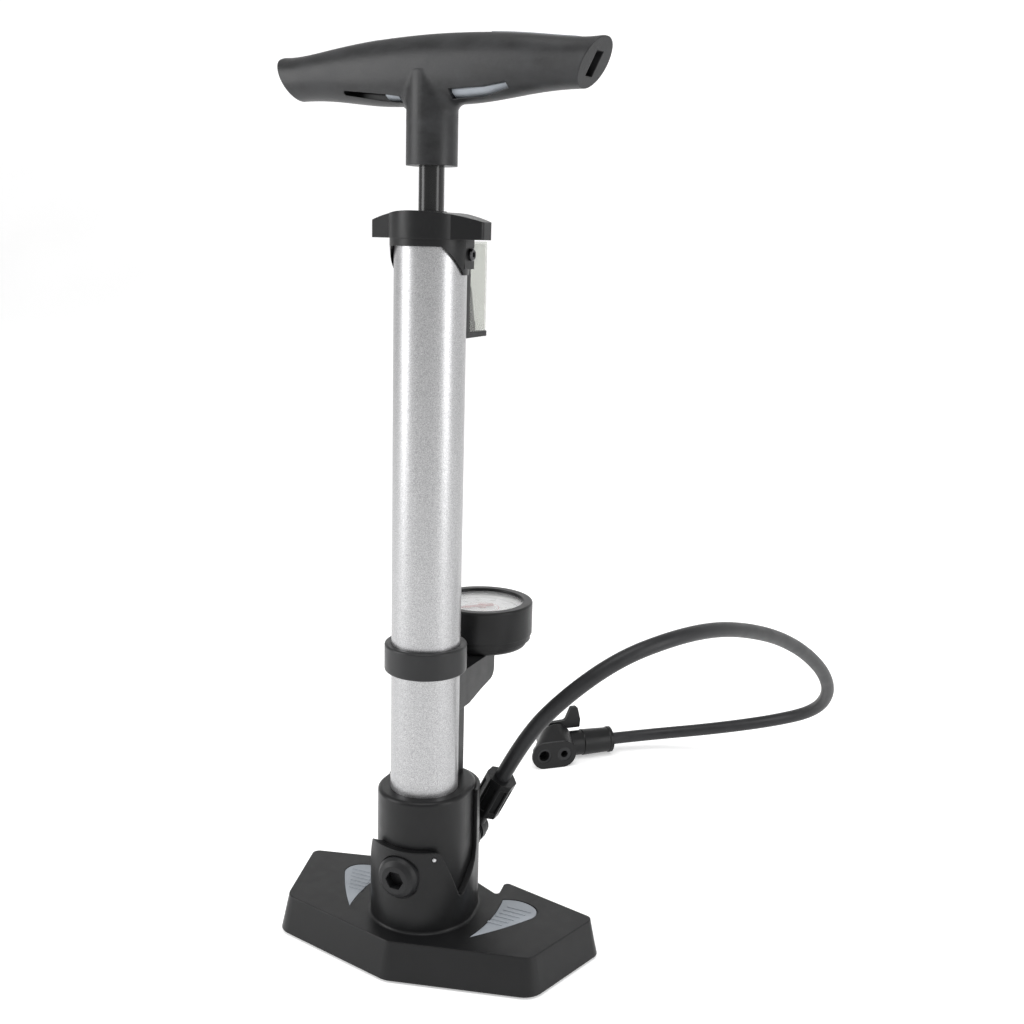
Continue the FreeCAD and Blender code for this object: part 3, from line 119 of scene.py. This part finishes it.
class Finish:
    """A material in the making, with short calls for the nodes that its finish needs."""

    def __init__(self, name):
        self.material = bpy.data.materials.new(name)
        self.material.use_nodes = True
        self.tree = self.material.node_tree
        self.shader = self.tree.nodes["Principled BSDF"]
        self.place = self.tree.nodes.new("ShaderNodeTexCoord").outputs["Object"]

    def node(self, kind, **sockets):
        """A new node; each socket takes a constant or another node's output."""
        made = self.tree.nodes.new(kind)
        for name, value in sockets.items():
            self.set(made.inputs[name.replace("_", " ")], value)
        return made

    def set(self, socket, value):
        if isinstance(value, bpy.types.NodeSocket):
            self.tree.links.new(value, socket)
        else:
            socket.default_value = value

    def noise(self, scale, detail=3.0, rough=0.5, stretch=None):
        place = self.place
        if stretch is not None:
            place = self.node("ShaderNodeMapping", Vector=place, Scale=stretch).outputs[0]
        made = self.node("ShaderNodeTexNoise", Vector=place, Scale=scale, Detail=detail, Roughness=rough)
        return made.outputs["Fac"]

    def spread(self, value, low, high, out_low=0.0, out_high=1.0):
        """Stretches the span low..high of a value over out_low..out_high."""
        made = self.node("ShaderNodeMapRange", Value=value)
        ends = (("From Min", low), ("From Max", high), ("To Min", out_low), ("To Max", out_high))
        for name, number in ends:
            made.inputs[name].default_value = number
        return made.outputs["Result"]

    def mix(self, factor, first, second):
        made = self.tree.nodes.new("ShaderNodeMix")
        made.data_type = "RGBA"
        self.set(made.inputs[0], factor)
        self.set(made.inputs[6], first)
        self.set(made.inputs[7], second)
        return made.outputs[2]

    def soft_edge(self, radius):
        """Rolls the sharp edges in the shading, as a mould or a tumbler does."""
        made = self.node("ShaderNodeBevel", Radius=radius * MM)
        made.samples = 6
        return made.outputs["Normal"]

    def bump(self, value, strength, distance, normal=None):
        """Relief from a value, on top of another relief where one is given."""
        made = self.node("ShaderNodeBump", Strength=strength, Distance=distance, Height=value)
        if normal is not None:
            self.set(made.inputs["Normal"], normal)
        return made.outputs["Normal"]

    def finish(self, **sockets):
        """Sets the shader's own sockets and gives the finished material."""
        for name, value in sockets.items():
            self.set(self.shader.inputs[name.replace("_", " ")], value)
        return self.material


def grey(value, tint=(1.0, 1.0, 1.0)):
    return (value * tint[0], value * tint[1], value * tint[2], 1.0)


COOL = (0.97, 0.99, 1.06)


def moulded(name, shade, rough=0.42, grain=0.25, tint=COOL, edge=0.45, gloss_level=0.26):
    """Moulded plastic: a fine spark-eroded grain, faint flow marks and a soft, uneven gloss."""
    look = Finish(name)
    cloud = look.noise(38.0, 4.0)
    fine = look.noise(2600.0, 2.0, 0.7)
    colour = look.mix(look.spread(cloud, 0.3, 0.7), grey(shade * 0.84, tint), grey(shade * 1.16, tint))
    gloss = look.spread(look.noise(120.0, 5.0), 0.25, 0.75, rough - 0.05, rough + 0.06)
    normal = look.bump(fine, grain, 0.00006, look.soft_edge(edge))
    return look.finish(Base_Color=colour, Roughness=gloss, Normal=normal, Specular_IOR_Level=gloss_level)


def mottled(name, shade):
    """The handle's plastic: soft and nearly matt, with a cloudy bloom where hands have been."""
    look = Finish(name)
    cloud = look.noise(55.0, 6.0, 0.62, stretch=(1.0, 1.0, 1.8))
    specks = look.noise(900.0, 3.0, 0.6)
    worn = look.spread(cloud, 0.38, 0.7)
    colour = look.mix(worn, grey(shade * 0.65, COOL), grey(shade * 1.7, COOL))
    gloss = look.spread(cloud, 0.3, 0.72, 0.34, 0.5)
    coarse = look.bump(cloud, 0.3, 0.0005, look.soft_edge(0.8))
    normal = look.bump(specks, 0.4, 0.00012, coarse)
    return look.finish(Base_Color=colour, Roughness=gloss, Normal=normal, Specular_IOR_Level=0.36)


def rubber(name, shade, rough=0.5):
    """Extruded rubber: a fine bloom and shallow pits."""
    look = Finish(name)
    bloom = look.noise(90.0, 5.0, 0.6)
    colour = look.mix(look.spread(bloom, 0.35, 0.7), grey(shade * 0.85, COOL), grey(shade * 1.25, COOL))
    gloss = look.spread(bloom, 0.3, 0.7, rough - 0.06, rough + 0.07)
    pits = look.bump(look.noise(1500.0, 3.0, 0.6), 0.22, 0.00008)
    return look.finish(Base_Color=colour, Roughness=gloss, Normal=pits, Specular_IOR_Level=0.3)


def flake_metal(name):
    """Silver lacquer with metal flake over the tube: fine bright grains and a soft sheen."""
    look = Finish(name)
    grain = look.noise(2100.0, 1.0, 0.6)
    coarse = look.noise(600.0, 2.0, 0.6)
    colour = look.mix(look.spread(grain, 0.35, 0.68), grey(0.31, (1, 1, 1.02)), grey(0.52, (1, 1, 1.01)))
    gloss = look.spread(coarse, 0.3, 0.7, 0.30, 0.38)
    normal = look.bump(grain, 0.28, 0.00006, look.soft_edge(0.3))
    return look.finish(Base_Color=colour, Roughness=gloss, Metallic=0.88, Normal=normal)


def turned_metal(name, colour, rough=0.28):
    """Bare metal with fine tool marks round it."""
    look = Finish(name)
    marks = look.noise(900.0, 3.0, 0.6, stretch=(0.3, 0.3, 3.0))
    tone = look.mix(look.spread(marks, 0.35, 0.65), tuple(0.85 * part for part in colour) + (1.0,),
                    colour + (1.0,))
    gloss = look.spread(marks, 0.3, 0.7, rough - 0.07, rough + 0.1)
    normal = look.bump(marks, 0.15, 0.00005, look.soft_edge(0.2))
    return look.finish(Base_Color=tone, Roughness=gloss, Metallic=1.0, Normal=normal)


def gloss_black(name):
    """Hard black coat on the rod, with long polishing marks."""
    look = Finish(name)
    marks = look.noise(300.0, 4.0, 0.6, stretch=(1.0, 1.0, 0.04))
    gloss = look.spread(marks, 0.3, 0.7, 0.16, 0.28)
    colour = look.mix(look.spread(marks, 0.3, 0.7), grey(0.0035), grey(0.007))
    normal = look.bump(marks, 0.1, 0.00004)
    return look.finish(Base_Color=colour, Roughness=gloss, Normal=normal, Specular_IOR_Level=0.45)


def clear(name, colour, rough, veil):
    """Clear moulded plastic, slightly hazed, with a few hair scratches."""
    look = Finish(name)
    scratches = look.noise(260.0, 3.0, 0.6, stretch=(1.0, 1.0, 0.1))
    gloss = look.spread(scratches, 0.6, 0.85, rough, rough + 0.06)
    haze = look.spread(look.noise(40.0, 2.0), 0.3, 0.7, veil - 0.02, veil + 0.02)
    return look.finish(Base_Color=colour + (1.0,), Roughness=gloss, Transmission_Weight=haze, IOR=1.22)


MATERIALS = {
    "black_plastic": moulded("black_moulding", 0.0062, 0.36),
    "charcoal_plastic": moulded("charcoal_moulding", 0.0105, 0.43),
    "handle_plastic": mottled("handle_moulding", 0.0145),
    "base_plastic": moulded("base_moulding", 0.0066, 0.38, edge=1.1),
    "bracket_plastic": moulded("bracket_moulding", 0.0115, 0.38, gloss_level=0.36),
    "dark_steel": turned_metal("dark_steel", (0.07, 0.07, 0.073)),
    "barrel_metal": flake_metal("flake_lacquer"),
    "rod_metal": gloss_black("black_rod"),
    "grey_pad": moulded("grey_grip", 0.34, 0.55, 0.4, (0.93, 1.0, 1.09), edge=0.25, gloss_level=0.3),
    "black_rubber": rubber("black_rubber", 0.017, 0.42),
    "white_dial": moulded("dial_card", 0.82, 0.5, 0.05, (1.0, 1.0, 1.0), edge=0.1),
    "clear_plastic": clear("clear_moulding", (0.74, 0.75, 0.72), 0.03, 0.9),
    "lens_plastic": clear("lens_moulding", (0.98, 0.98, 0.98), 0.04, 0.85),
    "steel": turned_metal("plain_steel", (0.52, 0.52, 0.53)),
    "brass": turned_metal("turned_brass", (0.72, 0.52, 0.24)),
    "needle_red": moulded("red_pointer", 0.28, 0.35, 0.1, (1.5, 0.35, 0.3), edge=0.1),
    "dial_ink": moulded("dial_ink", 0.10, 0.6, 0.02, edge=0.05),
    "dial_red": moulded("dial_red_ink", 0.5, 0.6, 0.02, (1.2, 0.25, 0.22), edge=0.05),
}


# ---------------------------------------------------------------- finishing the CAD pieces

SLOTS = {entry["node"]: entry["material_slot"] for entry in frame["record"]["subparts"]}
OWN_FINISH = {"handle_body": "handle_plastic", "base": "base_plastic", "gauge_lens": "lens_plastic",
              "gauge_bracket": "bracket_plastic", "cap_screw": "dark_steel"}
for name, piece in nodes.items():
    piece.data.materials.clear()
    piece.data.materials.append(MATERIALS[OWN_FINISH.get(name, SLOTS[name])])


def print_on_dial(name, mesh, finish):
    """A thin printed layer that rides with the gauge."""
    piece = bpy.data.objects.new(name, mesh)
    bpy.context.scene.collection.objects.link(piece)
    mesh.materials.append(MATERIALS[finish])
    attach(piece, "pump_body")


# ---------------------------------------------------------------- dial print

DIAL = Vector((0.0, 73.0, 182.33)) * MM
ZERO, SWEEP = math.radians(225.0), math.radians(-270.0)
SCALE_RADIUS = 21.4
LONG_STROKE, MIDDLE_STROKE, SHORT_STROKE = 2.8, 1.8, 1.0
STROKES, LONG_EVERY, MIDDLE_EVERY = 80, 10, 5
NUMBER_STEPS, NUMBER_STEP, NUMBER_RADIUS, NUMBER_SIZE = 8, 20, 15.9, 3.3


def arc_band(work, inner, outer, start, end, steps):
    """A flat band between two radii, from one angle to another."""
    rows = []
    for count in range(steps + 1):
        turn = start + (end - start) * count / steps
        way = Vector((math.cos(turn), math.sin(turn), 0))
        rows.append([work.verts.new(DIAL + way * (radius * MM)) for radius in (inner, outer)])
    for near, far in zip(rows, rows[1:]):
        work.faces.new((near[0], near[1], far[1], far[0]))


def dial_print():
    """Two scales round the dial, with long, middle and short strokes, and a warning band."""
    work = bmesh.new()
    arc_band(work, SCALE_RADIUS, SCALE_RADIUS + 0.35, ZERO, ZERO + SWEEP, 90)
    for count in range(STROKES + 1):
        turn = ZERO + SWEEP * count / STROKES
        stroke, half = SHORT_STROKE, math.radians(0.3)
        if count % MIDDLE_EVERY == 0:
            stroke = MIDDLE_STROKE
        if count % LONG_EVERY == 0:
            stroke, half = LONG_STROKE, math.radians(0.55)
        arc_band(work, SCALE_RADIUS - stroke, SCALE_RADIUS, turn - half, turn + half, 1)
    for count in range(12):
        turn = ZERO + SWEEP * count / 11
        arc_band(work, 10.4, 11.6, turn - math.radians(0.7), turn + math.radians(0.7), 1)
    mesh = bpy.data.meshes.new("dial_scale")
    work.to_mesh(mesh)
    work.free()
    print_on_dial("dial_scale", mesh, "dial_ink")
    work = bmesh.new()
    arc_band(work, 22.0, 22.9, ZERO + SWEEP * 0.76, ZERO + SWEEP, 24)
    arc_band(work, 10.0, 10.3, ZERO, ZERO + SWEEP, 60)
    mesh = bpy.data.meshes.new("dial_warning_band")
    work.to_mesh(mesh)
    work.free()
    print_on_dial("dial_warning_band", mesh, "dial_red")


def dial_numbers():
    """Numbers 0 to 160 that stand upright for someone who looks from the front."""
    for count in range(NUMBER_STEPS + 1):
        turn = ZERO + SWEEP * count / NUMBER_STEPS
        curve = bpy.data.curves.new(f"dial_number_{count}", "FONT")
        curve.body = str(NUMBER_STEP * count)
        curve.size = NUMBER_SIZE * MM
        curve.align_x = "CENTER"
        curve.align_y = "CENTER"
        number = bpy.data.objects.new(f"dial_number_{count}", curve)
        way = Vector((math.cos(turn), math.sin(turn), 0))
        number.location = DIAL + way * (NUMBER_RADIUS * MM)
        bpy.context.scene.collection.objects.link(number)
        curve.materials.append(MATERIALS["dial_ink"])
        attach(number, "pump_body")


dial_print()
dial_numbers()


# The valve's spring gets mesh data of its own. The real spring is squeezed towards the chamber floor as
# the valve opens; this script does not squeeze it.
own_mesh(nodes["valve_spring"])


hose.data.materials.append(MATERIALS["black_rubber"])
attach(hose, "pump_body")
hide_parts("hose")


# ---------------------------------------------------------------- studio

def studio():
    """A plain pale floor that curves up into a backdrop."""
    floor = bpy.data.meshes.new("studio_floor")
    work = bmesh.new()
    half, front, back, rise = 10.0, -10.0, 2.6, 3.2
    rows = [(front, 0.0)]
    for count in range(13):
        turn = math.radians(7.5 * count)
        rows.append((back + math.sin(turn), 1.0 - math.cos(turn)))
    rows.append((back + 1.0, rise))
    edge = None
    for y, z in rows:
        left, right = work.verts.new((-half, y, z)), work.verts.new((half, y, z))
        if edge is not None:
            work.faces.new((edge[0], edge[1], right, left))
        edge = (left, right)
    work.to_mesh(floor)
    work.free()
    floor.polygons.foreach_set("use_smooth", [True] * len(floor.polygons))
    stage = bpy.data.objects.new("studio_floor", floor)
    bpy.context.scene.collection.objects.link(stage)
    look = Finish("studio_paper")
    tone = look.mix(look.noise(3.0, 2.0), grey(0.86), grey(0.9))
    floor.materials.append(look.finish(Base_Color=tone, Roughness=0.9, Emission_Color=tone,
                                       Emission_Strength=0.42))


def soft_light(name, place, target, size, power, tall=None):
    """A large area light that faces a point."""
    data = bpy.data.lights.new(name, "AREA")
    data.shape = "RECTANGLE"
    data.size = size
    data.size_y = tall or size
    data.energy = power
    light = bpy.data.objects.new(name, data)
    aim = (Vector(target) - Vector(place)).to_track_quat("-Z", "Y")
    light.matrix_world = Matrix.Translation(Vector(place)) @ aim.to_matrix().to_4x4()
    bpy.context.scene.collection.objects.link(light)


studio()
middle = (0.0, 0.05, 0.25)
soft_light("key", (-1.35, -0.95, 0.75), middle, 0.75, 17.0, 1.5)
soft_light("fill", (1.65, -0.15, 0.6), middle, 0.6, 12.0, 1.5)
soft_light("top", (0.1, -0.3, 1.9), middle, 1.2, 14.0)
world = bpy.data.worlds.new("studio_world")
world.use_nodes = True
world.node_tree.nodes["Background"].inputs["Color"].default_value = (1, 1, 1, 1)
world.node_tree.nodes["Background"].inputs["Strength"].default_value = 0.55
bpy.context.scene.world = world
bpy.context.scene.view_settings.view_transform = "Standard"
